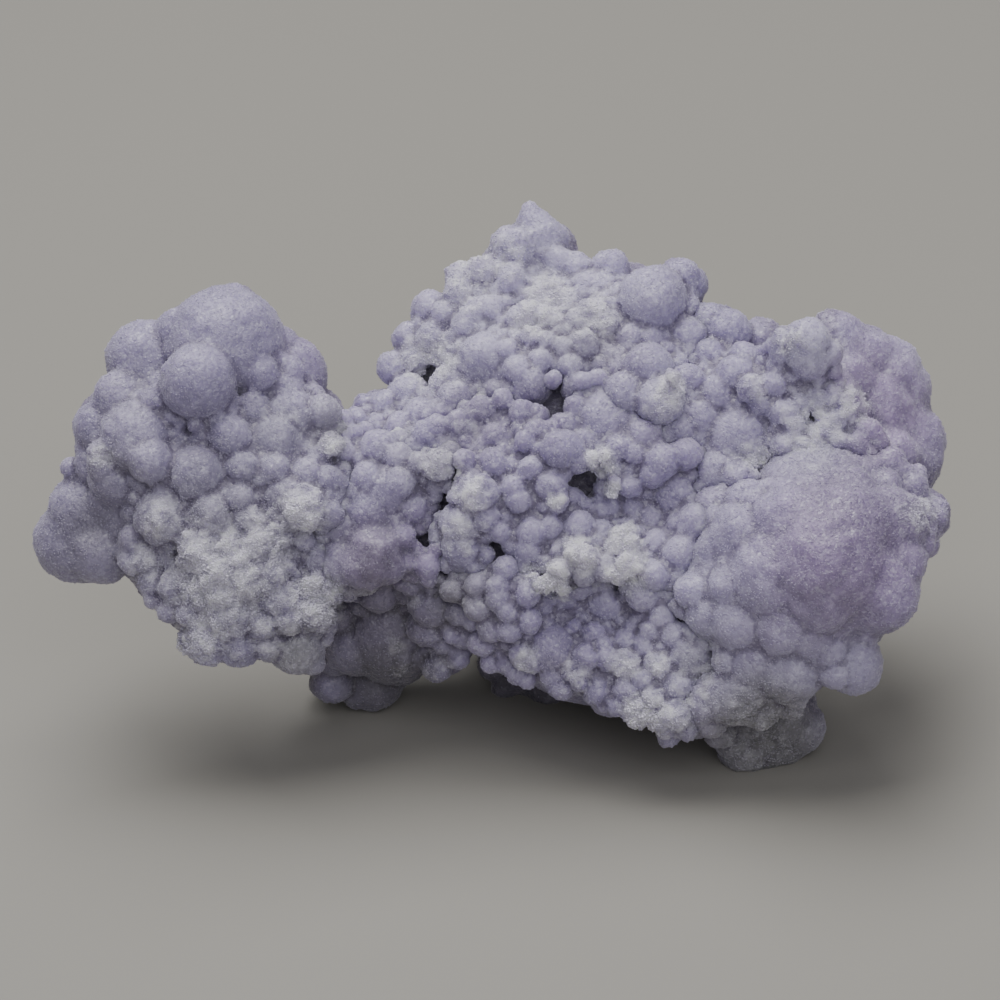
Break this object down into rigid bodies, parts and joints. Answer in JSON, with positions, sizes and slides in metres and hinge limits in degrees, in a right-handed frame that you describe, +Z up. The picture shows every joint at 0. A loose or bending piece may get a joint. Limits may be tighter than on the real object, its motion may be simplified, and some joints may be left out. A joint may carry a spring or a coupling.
{
  "type": "botryoidal chalcedony specimen",
  "caption": "Loose piece of lavender botryoidal chalcedony: grape-like rounded lumps in two joined masses, standing on rounded lobes of its underside.",
  "frame": {"origin": "on the surface that the stone rests on, under the middle of its box", "axes": "+Z up; +X to the right along its length, as it is seen from its front; -Y toward the viewer of its front"},
  "size_m": [0.0686, 0.0332, 0.0347],
  "materials": {
    "lavender_chalcedony": "frosted, waxy, slightly translucent lavender stone with a sugary crystal skin and pale crusts"
  },
  "bodies": {
    "root": {"chalcedony": "lavender_chalcedony"}
  },
  "joints": []
}
